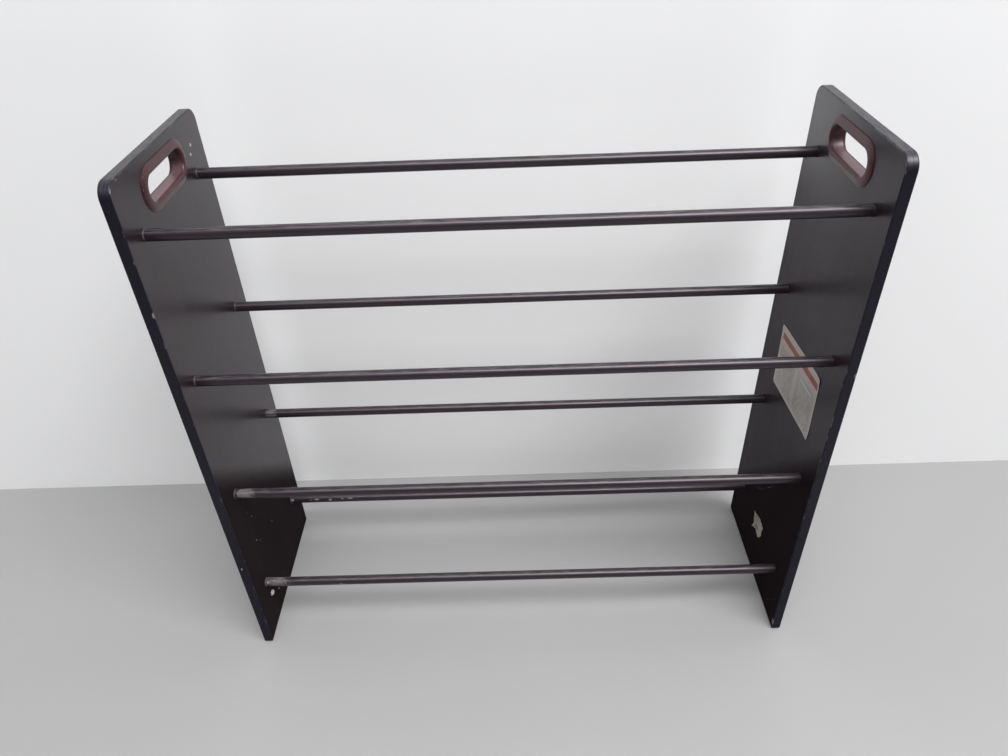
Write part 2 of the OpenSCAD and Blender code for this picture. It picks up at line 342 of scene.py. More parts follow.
# %% Handling group
group, given = new_group("handling_marks", Vector=ORIGIN, Scale=9.0)
broad = noise_of(group, given["Vector"], given["Scale"], 3.0, Distortion=0.8)
fine = noise_of(group, given["Vector"], times(group, given["Scale"], 11.0), 5.0)
handling_group = close_group(group, Value=add_node(group, "Mix", {0: 0.35, 2: broad, 3: fine}).outputs[0])

# %% [markdown]
# ## Starting a material
#
# Each finish starts from the same things: a Principled shader and the place of the
# point in the frame. What is the same all over the piece, such as its index of
# refraction, is set on the shader itself. What changes over the surface is worked
# out by nodes and linked in. Most finishes vary with the handling marks, and many
# ask how far a point is from the middle plane of the rack, and how deep and how
# high it lies.

# %% Material helpers
def new_material(name, **constants):
    """A material's tree, its shader and the Object coordinates, with constants set on the shader."""
    material = bpy.data.materials.new(name)
    material.use_nodes = True
    tree = material.node_tree
    shader = tree.nodes["Principled BSDF"]
    for label, value in constants.items():
        shader.inputs[label.replace("_", " ")].default_value = value
    place = tree.nodes.new("ShaderNodeTexCoord").outputs["Object"]
    return material, tree, shader, place


def effect(tree, group, *inputs):
    """The outputs of a node group in a material, its inputs filled in their order."""
    return add_node(tree, "Group", dict(enumerate(inputs)), node_tree=group).outputs


def marks(tree, group, place, rows):
    """A mask for each row of inputs of a scratch or patch group."""
    return [effect(tree, group, place, *row)["Mask"] for row in rows]


def handling(tree, place, scale):
    """The handling marks, at a scale that suits the size of the piece."""
    return effect(tree, handling_group, place, scale)["Value"]


def spread(tree, value, low=0.0, high=1.0):
    """Spreads a value that hovers about a half from low to high."""
    return soft_step(tree, value, 0.3, 0.7, low, high)


def parts_of(tree, place):
    """A point's distance from the middle plane of the rack, its depth and its height."""
    across, depth, height = add_node(tree, "SeparateXYZ", {"Vector": place}).outputs
    return calculate(tree, "ABSOLUTE", across), depth, height


def bump(tree, height, distance):
    """The normal of a surface with the given relief."""
    return add_node(tree, "Bump", {"Height": height, "Distance": distance}).outputs["Normal"]


def link(tree, shader, **sockets):
    """Links outputs to the shader's inputs by name."""
    for label, output in sockets.items():
        tree.links.new(output, shader.inputs[label.replace("_", " ")])


print("material helpers ready")

# %% [markdown]
# ## Finish 1: filmed board
#
# The film is a very dark brown, nearly black. Seen at a slant it mirrors the pale
# room, which is why the top of a panel looks grey in the picture and not brown. That
# gloss comes from a coat on the shader, so the colour is kept dark. Shoes have worn
# the coat away low down on the inner faces, further up at the front, where they are
# put in. There the film is also painted darker: painted shade that stands in for a
# dark floor mirrored in the low film. A pale spot near the top front of the left panel
# is a painted highlight. Hands have polished the top, and the right panel has grown
# hazy towards its rear. Such marks differ from panel to panel, so each gets its own
# material from one function. Under the film the board is pale chips pressed together,
# and it is bare along the bottom edge, where nobody looks.

# %% Board finish
FILM_DARK = (0.0102, 0.0052, 0.0082, 1.0)
FILM_LIGHT = (0.0190, 0.0104, 0.0155, 1.0)
# Painted shade: the film low on the panels is painted darker, as a mirrored dark floor would make it look.
FILM_PAINTED_SHADE = (0.0060, 0.0028, 0.0024, 1.0)
RUBBED_AND_HIGHLIGHT = (0.150, 0.135, 0.130, 1.0)
SPECK = (0.50, 0.48, 0.45, 1.0)
CHIP_LIGHT = (0.42, 0.30, 0.18, 1.0)
CHIP_DARK = (0.20, 0.13, 0.07, 1.0)
FILM_INDEX = {"left": 1.25, "right": 1.22}
FILM_TINT = {"left": (1.0, 0.93, 0.99, 1.0), "right": (0.88, 0.86, 1.0, 1.0)}
FILM_ROUGHNESS = (0.285, 0.355)
GLOSS = {"left": 0.36, "right": 0.14}
# These heights and slant place both the worn-away coat and the painted shade; both reach higher towards the
# front.
DULL_AND_SHADE_HEIGHTS = {"left": (0.250, 0.195), "right": (0.225, 0.160)}
DULL_AND_SHADE_SLANT = {"left": 0.88, "right": 1.10}
PAINTED_SHADE_BY = 0.85
DULLED_BY = 0.58
DAMAGED_BY = 0.45
OUTSIDE_DULLED = 0.3
HAZE = {"left": 0.0, "right": 0.32}
HAZE_HEIGHTS = (0.65, 0.07)
HAZE_SLANT = 1.4
POLISH = {"left": (0.0, 0.17), "right": (0.16, 0.72)}
POLISH_DEPTHS = (-0.06, 0.09)
POLISH_HEIGHTS = (0.56, 0.68)
BOARD_SPECKS = (70.0, 0.06, 0.10)
SPECKS_HEIGHTS = (0.26, 0.26 / 3)
BOARD_LINES = {
    "left": [
        ((-75.8, 282.0), (-70.5, 236.0), 0.5, 0.52),
        ((-70.0, 222.0), (-68.0, 212.0), 0.6, 0.40),
        ((-27.0, 172.0), (-25.0, 160.0), 0.5, 0.42),
    ],
    "right": [
        ((42.5, 127.5), (15.0, 148.0), 0.6, 0.42),
        ((15.0, 148.0), (-18.7, 188.3), 0.7, 0.45),
        ((-76.4, 11.0), (-107.0, 51.7), 0.6, 0.50),
    ],
}
# The left panel's spot is a painted highlight, where light catches near its top front edge.
BOARD_WEAR_AND_HIGHLIGHT_SPOT = {
    "left": ((-100.0, 697.5), (0.002, 0.0022, 0.0016), 500.0, 0.7),
    "right": ((-116.5, 15.0), (0.002, 0.0022, 0.0050), 400.0, 1.0),
}


def on_face(side, y, z):
    """A point on a panel's inner face, given in millimetres from the middle and from the floor."""
    return (INNER_FACE[side], y * MM, z * MM)


def bare_board(tree, place):
    """The colour of pressed chips."""
    squashed = vector_of(tree, "MULTIPLY", place, (1.0, 0.45, 1.0))
    chips = add_node(tree, "TexVoronoi", {"Vector": squashed, "Scale": 700.0})
    tint = add_node(tree, "SeparateColor", {"Color": chips.outputs["Color"]}).outputs["Red"]
    return mix_colour(tree, tint, CHIP_DARK, CHIP_LIGHT)


def board_finish(side):
    """Dark grained film with this panel's own scratches and spot, painted shade low down, and on the left a
    painted highlight.
    """
    material, tree, shader, place = new_material(
        "filmed_board_" + side, IOR=FILM_INDEX[side], Specular_Tint=FILM_TINT[side], Coat_Roughness=0.3,
    )
    grain = effect(tree, grain_group, place)
    colour = mix_colour(tree, grain["Shade"], FILM_DARK, FILM_LIGHT)
    aside, depth, height = parts_of(tree, place)
    inside = soft_step(tree, aside, INNER + MM, OUTER - MM, 1.0, 0.0)
    slanted = plus(tree, height, times(tree, depth, DULL_AND_SHADE_SLANT[side], inside))
    dulled = soft_step(tree, slanted, *DULL_AND_SHADE_HEIGHTS[side])
    dulled = times(tree, dulled, soft_step(tree, inside, 0.0, 1.0, OUTSIDE_DULLED, 1.0))
    # Painted shade: darker film low on the panels, standing in for a dark floor mirrored there.
    colour = mix_colour(tree, times(tree, dulled, PAINTED_SHADE_BY), colour, FILM_PAINTED_SHADE)

    lines = [
        (on_face(side, *start), on_face(side, *end), width * MM, breaks)
        for start, end, width, breaks in BOARD_LINES[side]
    ]
    centre, *patch = BOARD_WEAR_AND_HIGHLIGHT_SPOT[side]
    spots = [(on_face(side, *centre), *patch)]
    worn = marks(tree, scratch_group, place, lines) + marks(tree, patch_group, place, spots)
    worn = largest(tree, *worn)
    specks = effect(tree, specks_group, place, *BOARD_SPECKS)["Mask"]
    specks = times(tree, specks, soft_step(tree, height, *SPECKS_HEIGHTS))
    bottom = calculate(tree, "LESS_THAN", height, PANEL_BOTTOM + 0.05 * MM)
    # The scratches and the spot are painted paler; on the left panel the spot is a painted highlight, not
    # wear.
    colour = mix_colour(tree, worn, colour, RUBBED_AND_HIGHLIGHT)
    colour = mix_colour(tree, specks, colour, SPECK)
    colour = mix_colour(tree, bottom, colour, bare_board(tree, place))
    damage = largest(tree, worn, specks, bottom)

    slanted = minus(tree, height, times(tree, depth, HAZE_SLANT))
    roughness = plus(
        tree, spread(tree, handling(tree, place, 7.0), *FILM_ROUGHNESS), times(tree, dulled, DULLED_BY),
        soft_step(tree, slanted, *HAZE_HEIGHTS, 0.0, HAZE[side]), times(tree, damage, DAMAGED_BY), clamp=True,
    )
    polished = soft_step(tree, depth, *POLISH_DEPTHS, *POLISH[side])
    polished = times(tree, polished, soft_step(tree, height, *POLISH_HEIGHTS))
    gloss = plus(tree, times(tree, minus(tree, 1.0, dulled), GLOSS[side]), polished)
    gloss = times(tree, gloss, minus(tree, 1.0, damage))
    relief = bump(tree, minus(tree, times(tree, grain["Height"], 0.12), damage), 0.012 * MM)
    link(tree, shader, Base_Color=colour, Roughness=roughness, Coat_Weight=gloss, Normal=relief)
    return material


board = {side: board_finish(side) for side in SIDES}
print("board finishes:", [m.name for m in board.values()])

# %% [markdown]
# ## Finish 2: edge band
#
# The front, top and rear edges are closed by one plastic strip, a shade bluer than
# the film. Fine strokes run along it, and hands have polished its top. Its two long
# corners catch every knock, so the colour there is rubbed paler in short broken runs.
# The corners are found by their distance from the faces of the board, along x. On the
# left band a pale patch at the top front inner corner is a painted highlight.

# %% Edge band finish
BAND_DARK = (0.0028, 0.0024, 0.0062, 1.0)
BAND_LIGHT = (0.0060, 0.0050, 0.0112, 1.0)
BAND_RUBBED_AND_HIGHLIGHT = (0.17, 0.155, 0.155, 1.0)
BAND_TINT = (0.92, 0.91, 1.0, 1.0)
CORNER_FROM, CORNER_TO = (0.02 * MM, 0.2 * MM), (0.8 * MM, 0.3 * MM)
POLISHED_TOP = (TOP_EDGE - 16 * MM, TOP_EDGE - 6 * MM)
BAND_FOOT = (0.32, 0.16)
BAND_WEAR_AND_HIGHLIGHT_SPOTS = {
    "left": [
        # A painted highlight where the light catches the top front inner corner.
        ((INNER_FACE["left"], -0.1165, 0.6925), (0.0005, 0.0030, 0.0045), 700.0, 1.3),
        ((INNER_FACE["left"], -0.1195, 0.560), (0.002, 0.003, 0.004), 500.0, 0.6),
    ],
    "right": [
        ((INNER, -0.1190, 0.0150), (0.0012, 0.0020, 0.0060), 400.0, 0.9),
        ((OUTER, -0.1190, 0.455), (0.003, 0.003, 0.004), 500.0, 0.6),
    ],
}


def edge_band_finish(side):
    """Satin strip with rubbed corners and this side's own worn patches, on the left also a painted highlight.
    """
    material, tree, shader, place = new_material(
        "edge_band_" + side, IOR=1.5, Specular_IOR_Level=0.25, Specular_Tint=BAND_TINT, Coat_Roughness=0.42,
    )
    aside, _, height = parts_of(tree, place)
    gaps = [calculate(tree, "ABSOLUTE", minus(tree, aside, face)) for face in (INNER, OUTER)]
    gap = calculate(tree, "MINIMUM", *gaps)
    corner = times(tree, soft_step(tree, gap, *CORNER_FROM), soft_step(tree, gap, *CORNER_TO))
    breaks = noise_of(tree, place, 55.0, 5.0, Roughness=0.7)
    rubbed_and_highlit = times(tree, corner, soft_step(tree, breaks, 0.56, 0.68))
    # Worn patches, and on the left a painted highlight, are laid over the rubbed corners.
    rubbed_and_highlit = largest(tree, rubbed_and_highlit, *marks(tree, patch_group, place, BAND_WEAR_AND_HIGHLIGHT_SPOTS[side]))
    handled = handling(tree, place, 14.0)
    colour = mix_colour(tree, handled, BAND_DARK, BAND_LIGHT)
    colour = mix_colour(tree, rubbed_and_highlit, colour, BAND_RUBBED_AND_HIGHLIGHT)
    strokes = noise_of(tree, vector_of(tree, "MULTIPLY", place, (1.0, 0.05, 0.05)), 1300.0, 3.0)
    roughness = plus(
        tree, spread(tree, handled, 0.28, 0.40), soft_step(tree, strokes, 0.40, 0.60, 0.0, 0.12),
        soft_step(tree, height, *BAND_FOOT, 0.0, 0.30), times(tree, rubbed_and_highlit, 0.2), clamp=True,
    )
    polished = soft_step(tree, height, *POLISHED_TOP)
    polished = times(tree, polished, soft_step(tree, strokes, 0.40, 0.58, 0.25, 0.95))
    relief = minus(tree, times(tree, noise_of(tree, place, 1600.0, 3.0), 0.3), rubbed_and_highlit)
    relief = bump(tree, plus(tree, relief, times(tree, strokes, 3.0)), 0.02 * MM)
    link(tree, shader, Base_Color=colour, Roughness=roughness, Coat_Weight=polished, Normal=relief)
    return material


edge_band = {side: edge_band_finish(side) for side in SIDES}
print("edge band finishes:", [m.name for m in edge_band.values()])

# %% [markdown]
# ## Finish 3: moulded grip
#
# The grips are maroon plastic from a spark-textured mould. Sunlight has drawn some
# colour out of them unevenly. The floor of the slot is painted paler, a painted
# highlight where light falls on it from above. Fingers have polished that floor too,
# which shows as a coat. A little sheen stands for the chalky bloom of old plastic, and
# fine dust sits in the texture.

# %% Grip finish
MAROON_DARK = (0.026, 0.0055, 0.0085, 1.0)
MAROON_LIGHT = (0.060, 0.0150, 0.0195, 1.0)
MAROON_PAINTED_LIGHT = (0.165, 0.084, 0.098, 1.0)
GRIP_DUST = (260.0, 0.10, 0.16)


def grip_finish():
    """Maroon plastic, spark-textured and unevenly faded, with a painted highlight on the floor of the slot.
    """
    material, tree, shader, place = new_material(
        "maroon_grip", IOR=1.52, Specular_Tint=(1.0, 0.86, 0.91, 1.0), Sheen_Weight=0.03, Coat_Roughness=0.45,
    )
    faded = handling(tree, place, 22.0)
    colour = mix_colour(tree, spread(tree, faded), MAROON_DARK, MAROON_LIGHT)
    aside, _, height = parts_of(tree, place)
    floor = times(
        tree, soft_step(tree, aside, INNER - MM, INNER + MM), soft_step(tree, aside, OUTER + MM, OUTER - MM),
        soft_step(tree, height, SLOT_MIDDLE, SLOT_MIDDLE - 10 * MM),
    )
    # Painted highlight: the floor of the slot is painted paler where light falls on it from above.
    colour = mix_colour(tree, times(tree, floor, spread(tree, faded, 0.4, 0.8)), colour, MAROON_PAINTED_LIGHT)
    dust = effect(tree, specks_group, place, *GRIP_DUST)["Mask"]
    colour = mix_colour(tree, times(tree, dust, 0.35), colour, SPECK)
    roughness, fingered = spread(tree, faded, 0.34, 0.48), times(tree, floor, 0.4)
    relief = bump(tree, noise_of(tree, place, 1900.0, 3.0, Roughness=0.6), 0.06 * MM)
    link(tree, shader, Base_Color=colour, Roughness=roughness, Coat_Weight=fingered, Normal=relief)
    return material


grip = grip_finish()
print("grip finish:", grip.name)

# %% [markdown]
# ## Finish 4: enamelled tube
#
# The rails are thin steel tube under a glossy brown-black enamel with a trace of
# metal in it. The trace matters: a plain dark paint mirrors a lamp much more faintly
# than these rails do. Shoes have dulled the top of each rail in fine streaks along
# it, and three rails are scuffed on the upper side of their left ends. Each of those
# scuffs has its length, its grain and how torn it is, and each rail its own material.

# %% Rail finish
ENAMEL_DARK = (0.0168, 0.0103, 0.0156, 1.0)
ENAMEL_LIGHT = (0.0283, 0.0183, 0.0262, 1.0)
SCUFFED = (0.215, 0.195, 0.192, 1.0)
LEFT_SCUFFS = {
    ("lower", "front"): (0.026, 240.0, 0.5),
    ("lower", "rear"): (0.014, 240.0, 0.5),
    ("bottom", "front"): (0.030, 420.0, 1.1),
}


def left_end(axis, length, grain, torn):
    """The row of a scuff that covers the given length at the left end of a rail."""
    return ((-rail_end + length / 2, axis.y, axis.z), (length * 0.6, 0.012, 0.012), grain, torn)


def rail_finish(tier, row):
    """Glossy enamel, dulled along the top, with one rail's own scuff."""
    material, tree, shader, place = new_material(
        f"enamel_{tier}_{row}", IOR=1.5, Metallic=0.45, Specular_Tint=(1.0, 0.95, 1.0, 1.0),
        Coat_Weight=0.38, Coat_Roughness=0.32, Coat_IOR=1.5,
    )
    axis = rail_axis[tier, row]
    handled = handling(tree, place, 12.0)
    colour = mix_colour(tree, handled, ENAMEL_DARK, ENAMEL_LIGHT)
    _, _, height = parts_of(tree, place)
    on_top = soft_step(tree, height, axis.z + 0.55 * rail_radius, axis.z + rail_radius)
    hairs = noise_of(tree, vector_of(tree, "MULTIPLY", place, (0.06, 1.0, 1.0)), 900.0, 3.0)
    dulled = times(tree, on_top, soft_step(tree, hairs, 0.45, 0.65))
    scuffed = times(tree, dulled, 0.1)
    if (tier, row) in LEFT_SCUFFS:
        scuffed, = marks(tree, patch_group, place, [left_end(axis, *LEFT_SCUFFS[tier, row])])
    streaks = soft_step(tree, hairs, 0.36, 0.56, 0.25, 1.0)
    exposed = soft_step(tree, height, axis.z - 0.35 * rail_radius, axis.z + 0.1 * rail_radius)
    scuffed = times(tree, scuffed, streaks, exposed)
    colour = mix_colour(tree, times(tree, dulled, 0.25), colour, SCUFFED)
    colour = mix_colour(tree, times(tree, scuffed, 0.8), colour, SCUFFED)
    worn = times(tree, dulled, 0.12), times(tree, scuffed, 0.4)
    roughness = plus(tree, spread(tree, handled, 0.34, 0.42), *worn, clamp=True)
    relief = bump(tree, minus(tree, times(tree, hairs, 0.3), scuffed), 0.01 * MM)
    link(tree, shader, Base_Color=colour, Roughness=roughness, Normal=relief)
    return material


rail_material = {(tier, row): rail_finish(tier, row) for tier, row in rail_axis}
print("rail finishes:", len(rail_material))

# %% [markdown]
# ## Finish 5: plugs, bolts, nuts and glides
#
# The plugs are dark moulded plastic, of which only the thin edge of the flange shows
# at the end of each rail. Those on the left are painted paler, as a painted highlight
# where the light catches them, and those on the right darker, as painted shade. The
# bolts and nuts are zinc-plated steel, the one bare metal here. The glides under the
# panels are black plastic, ground dull by floors.

# %% Small-part finishes
ZINC_DARK = (0.50, 0.51, 0.53, 1.0)
ZINC_LIGHT = (0.66, 0.66, 0.65, 1.0)
TARNISH = (0.22, 0.17, 0.12, 1.0)


def plastic_finish(name, dark, light, low, high):
    """A plain moulded plastic: two tones, and a roughness between low and high."""
    material, tree, shader, place = new_material(name, IOR=1.48)
    handled = handling(tree, place, 60.0)
    colour = mix_colour(tree, spread(tree, handled), dark, light)
    relief = bump(tree, noise_of(tree, place, 2200.0, 3.0), 0.03 * MM)
    link(tree, shader, Base_Color=colour, Roughness=spread(tree, handled, low, high), Normal=relief)
    return material


def zinc_finish():
    """Bright zinc plate with crystal tint and fine turning marks."""
    material, tree, shader, place = new_material("zinc_plate", Metallic=1.0)
    crystals = add_node(tree, "TexVoronoi", {"Vector": place, "Scale": 1400.0})
    tint = add_node(tree, "SeparateColor", {"Color": crystals.outputs["Color"]}).outputs["Green"]
    handled = handling(tree, place, 80.0)
    tarnish = soft_step(tree, handled, 0.56, 0.70, 0.0, 0.5)
    colour = mix_colour(tree, tarnish, mix_colour(tree, tint, ZINC_DARK, ZINC_LIGHT), TARNISH)
    relief = bump(tree, noise_of(tree, place, 2600.0, 2.0), 0.02 * MM)
    link(tree, shader, Base_Color=colour, Roughness=spread(tree, handled, 0.29, 0.46), Normal=relief)
    return material


# One plastic in two copies: painted highlight on the left plugs, painted shade on the right ones.
plug = {
    "left": plastic_finish("lit_plug_painted_highlight", (0.055, 0.042, 0.044, 1.0), (0.095, 0.074, 0.076, 1.0), 0.30, 0.42),
    "right": plastic_finish("shaded_plug_painted_shade", (0.014, 0.010, 0.012, 1.0), (0.026, 0.020, 0.022, 1.0), 0.34, 0.46),
}
glide = plastic_finish("black_glide", (0.012, 0.012, 0.012, 1.0), (0.035, 0.034, 0.033, 1.0), 0.5, 0.75)
zinc = zinc_finish()
print("small-part finishes:", [m.name for m in plug.values()], glide.name, zinc.name)

# %% [markdown]
# ## Giving the frame its finishes
#
# The frame's pieces keep their meshes and only receive a material. A name tells
# what a piece is, so one function is enough to pick its finish.

# %% Assign finishes to the frame
def finish_for(name):
    """The material of one piece of the frame, chosen by the words in its name."""
    kind, *rest = name.split("_")
    if kind == "rail":
        return rail_material[tuple(rest)]
    side = rest[-1]
    choices = {"side": board, "edge": edge_band, "plug": plug}
    if kind in choices:
        return choices[kind][side]
    return {"grip": grip, "glide": glide}.get(kind, zinc)


for name, node in frame["nodes"].items():
    node.data.materials.clear()
    node.data.materials.append(finish_for(name))
print("finished", len(frame["nodes"]), "frame pieces")

# %% [markdown]
# ## Modelling small sheets and drops
#
# What sticks to the panels is modelled lying flat at the origin, where its outline
# is easy to work on, and is stood against its panel when it is done. A few helpers
# do what a hand does in edit mode: begin a sheet with a fine grid, pick vertices or
# faces by their place, pull up a corner so that its surroundings follow, and lay
# the finished piece on a surface.

# %% Helpers for sheets and drops
UP = Vector((0, 0, 1))
LEFTWARD = Vector((-1, 0, 0))


def start_sheet(name, wide, tall, cuts):
    """A flat grid of the given size at the origin, in edit mode."""
    bpy.ops.mesh.primitive_plane_add(size=1.0)
    sheet = bpy.context.object
    sheet.name = sheet.data.name = name
    bpy.ops.object.mode_set(mode="EDIT")
    bpy.ops.transform.resize(value=(wide, tall, 1.0))
    bpy.ops.mesh.subdivide(number_cuts=cuts)
    return sheet


def pick(piece, kind, test):
    """Selects only the vertices or faces whose place passes a test."""
    bpy.ops.mesh.select_mode(type=kind)
    bpy.ops.mesh.select_all(action="DESELECT")
    mesh = bmesh.from_edit_mesh(piece.data)
    if kind == "VERT":
        chosen = [v for v in mesh.verts if test(v.co)]
    else:
        chosen = [f for f in mesh.faces if test(f.calc_center_median())]
    for item in chosen:
        item.select_set(True)
    bmesh.update_edit_mesh(piece.data)


def pull(piece, spot, move, reach):
    """Moves the vertices at a spot, and what lies around it less and less."""
    pick(piece, "VERT", lambda place: (place - Vector(spot)).length < reach / 8)
    bpy.ops.transform.translate(
        value=move, use_proportional_edit=True,
        proportional_edit_falloff="SMOOTH", proportional_size=reach,
    )


def facing(normal, up):
    """The turn that lays a flat piece on a surface, given its normal and the piece's up."""
    across = up.cross(normal)
    return Matrix((across, up, normal)).transposed()


def lay_on(piece, place, turn):
    """Puts a flat piece on a surface and applies its place, so its object stays at the origin."""
    bpy.ops.object.mode_set(mode="OBJECT")
    piece.matrix_world = Matrix.Translation(place) @ turn.to_4x4()
    bpy.ops.object.transform_apply(location=True, rotation=True, scale=True)


def give_thickness(piece, thickness):
    """Turns a sheet into a thin solid with a Solidify modifier that is applied."""
    bpy.ops.object.mode_set(mode="OBJECT")
    wall = piece.modifiers.new("thickness", "SOLIDIFY")
    wall.thickness = thickness
    wall.offset = 1.0
    bpy.ops.object.modifier_apply(modifier=wall.name)


print("sheet helpers ready")

# %% [markdown]
# ## The label
#
# A large silver label sticks to the right panel, a little askew, since hands put it
# there. It starts as a plane that is cut into a grid. Its four corner vertices are
# drawn in, as a punched corner is, three corners are pulled off the board where the
# glue has let go, and a slow ripple is pressed into it by a displacement. Then it
# gets the thickness of a film.

# %% Model the label
LABEL_WIDE, LABEL_TALL = 136 * MM, 90 * MM
LABEL_TILT = math.radians(3.4)
LABEL_PLACE = Vector((INNER_FACE["right"], -3.75 * MM, 363.5 * MM))
LABEL_TURN = facing(LEFTWARD, Vector((0, math.sin(LABEL_TILT), math.cos(LABEL_TILT))))
SEAT = 0.04 * MM
half_wide, half_tall = LABEL_WIDE / 2, LABEL_TALL / 2
LOOSE_CORNERS = ((1, 1, 0.7, 14), (1, -1, 0.9, 16), (-1, 1, 0.4, 12))

label = start_sheet("label_right", LABEL_WIDE, LABEL_TALL, 47)
for corner_x in (-1, 1):
    for corner_y in (-1, 1):
        corner_spot = Vector((corner_x * half_wide, corner_y * half_tall, 0))
        pick(label, "VERT", lambda place: (place - corner_spot).length < 0.1 * MM)
        bpy.ops.transform.translate(value=(-corner_x * MM, -corner_y * 0.7 * MM, 0))
for corner_x, corner_y, lift, reach in LOOSE_CORNERS:
    corner_spot = (corner_x * (half_wide - MM), corner_y * (half_tall - MM), 0)
    pull(label, corner_spot, (0, 0, lift * MM), reach * MM)
bpy.ops.object.mode_set(mode="OBJECT")
ripple = label.modifiers.new("ripple", "DISPLACE")
ripple.texture = bpy.data.textures.new("ripple", "CLOUDS")
ripple.texture.noise_scale = 0.03
ripple.strength = 0.3 * MM
ripple.mid_level = 0.0
bpy.ops.object.modifier_apply(modifier=ripple.name)
give_thickness(label, 0.12 * MM)
lay_on(label, LABEL_PLACE - Vector((SEAT, 0, 0)), LABEL_TURN)
bpy.ops.object.shade_smooth_by_angle(angle=math.radians(40))
print("label has", len(label.data.polygons), "faces")

# %% [markdown]
# ## Finish 6: the label's film
#
# A Mapping node set to the label's own place and turn gives coordinates that run
# along its edges, so the stripes follow it although it hangs askew. The label stays
# blank: it has a pale crown, a russet stripe with a thin bright line below it, and
# faint ruled columns, and nothing is written on it. Years have yellowed it a little
# and left it dull in places.

# %% Label finish
LABEL_FILM = (0.425, 0.400, 0.378, 1.0)
LABEL_AGED = (0.360, 0.325, 0.300, 1.0)
LABEL_CROWN = (0.420, 0.365, 0.300, 1.0)
LABEL_STRIPE = (0.215, 0.058, 0.042, 1.0)
LABEL_LINE = (0.600, 0.330, 0.250, 1.0)
LABEL_RULE = (0.130, 0.110, 0.110, 1.0)
LABEL_PALE = (0.560, 0.570, 0.570, 1.0)
CROWN_FROM, CROWN_FULL = 35.8 * MM, 36.3 * MM
STRIPE_SPAN = (27.0, 36.0)
LINE_SPAN = (24.4, 26.4)
STRIPE_ENDS = (-62.0, 65.5)
HEADING_SPAN, HEADING_ENDS = (10.2, 11.8), (16.0, 54.0)
RULE_PITCH = 2.4 * MM
COLUMN_ENDS, COLUMN_SPAN = (5.0, 61.0), (-40.0, 17.0)


def between(tree, value, span, soft):
    """One between two values and zero outside, with soft ends, in millimetres."""
    low, high = span
    rising = soft_step(tree, value, (low - soft) * MM, (low + soft) * MM)
    return times(tree, rising, soft_step(tree, value, (high + soft) * MM, (high - soft) * MM))


def label_finish():
    """Silver film with a stripe, faint rules, and uneven age."""
    material, tree, shader, place = new_material("label_film", IOR=1.45)
    seat = {"Vector": place, "Location": LABEL_PLACE, "Rotation": LABEL_TURN.to_euler()}
    local = add_node(tree, "Mapping", seat, vector_type="TEXTURE").outputs["Vector"]
    along, up, _ = add_node(tree, "SeparateXYZ", {"Vector": local}).outputs
    middle = calculate(tree, "ABSOLUTE", along)
    handled = handling(tree, local, 26.0)
    colour = mix_colour(tree, soft_step(tree, handled, 0.35, 0.65), LABEL_FILM, LABEL_AGED)

    rules = soft_step(tree, calculate(tree, "PINGPONG", up, RULE_PITCH / 2), 0.75 * MM, 0.45 * MM)
    breaks = noise_of(tree, vector_of(tree, "MULTIPLY", local, (1.0, 0.35, 1.0)), 260.0, 2.0)
    breaks = soft_step(tree, breaks, 0.42, 0.56, 0.25, 0.70)
    columns = between(tree, middle, COLUMN_ENDS, 0.5), between(tree, up, COLUMN_SPAN, 0.3)
    rules = times(tree, rules, *columns, breaks)
    colour = mix_colour(tree, rules, colour, LABEL_RULE)

    width = between(tree, along, STRIPE_ENDS, 0.3)
    crown = soft_step(tree, up, CROWN_FROM, CROWN_FULL)
    stripe = times(tree, width, between(tree, up, STRIPE_SPAN, 0.25))
    line = times(tree, width, between(tree, up, LINE_SPAN, 0.25))
    heading = times(tree, between(tree, up, HEADING_SPAN, 0.3), between(tree, along, HEADING_ENDS, 1.0))
    to_side = minus(tree, half_wide, middle)
    to_end = minus(tree, half_tall, calculate(tree, "ABSOLUTE", up))
    rim = soft_step(tree, calculate(tree, "MINIMUM", to_side, to_end), 1.6 * MM, 0.8 * MM, 0.0, 0.6)
    tones = LABEL_CROWN, LABEL_STRIPE, LABEL_LINE, LABEL_PALE, LABEL_PALE
    for mask, tone in zip((crown, stripe, line, heading, rim), tones):
        colour = mix_colour(tree, mask, colour, tone)

    relief = bump(tree, noise_of(tree, local, 90.0, 4.0), 0.12 * MM)
    link(tree, shader, Base_Color=colour, Roughness=spread(tree, handled, 0.38, 0.58), Normal=relief)
    return material


label.data.materials.append(label_finish())
print("label finish:", label.data.materials[0].name)

# %% [markdown]
# ## The torn remnant
#
# Low on the same panel a small label was torn off and left its lower layer behind.
# The outline is a loose ring of points. A fine grid is laid over it, the faces
# outside the ring are deleted together with a small hole and a slit, with some noise
# to make the tear ragged, and the torn rim is smoothed a little and curls up. The
# noise differs from one session to the next unless its seed is set first.

# %% Model the torn remnant
REMNANT_MIDDLE = (2.0 * MM, 81.0 * MM)
REMNANT_RING = [
    (20.1, 96.7), (21.4, 79.5), (17.0, 78.5), (22.0, 62.0), (7.4, 73.2), (2.6, 70.3),
    (-5.4, 68.3), (-12.0, 71.7), (-16.8, 83.3), (-17.8, 100.8), (1.1, 100.6),
]
RAGGED = 1.6 * MM
HOLE, HOLE_RADIUS = Vector((-6.7 * MM, -4.1 * MM, 0)), 1.4 * MM
SLIT, SLIT_HALF = (-1.5 * MM, -0.3 * MM), (5.5 * MM, 1.2 * MM)
CURLS = (((-17, 14), 1.2, 9), ((16, 14), 0.8, 8))
ring = [Vector((REMNANT_MIDDLE[0] - y * MM, z * MM - REMNANT_MIDDLE[1], 0)) for y, z in REMNANT_RING]


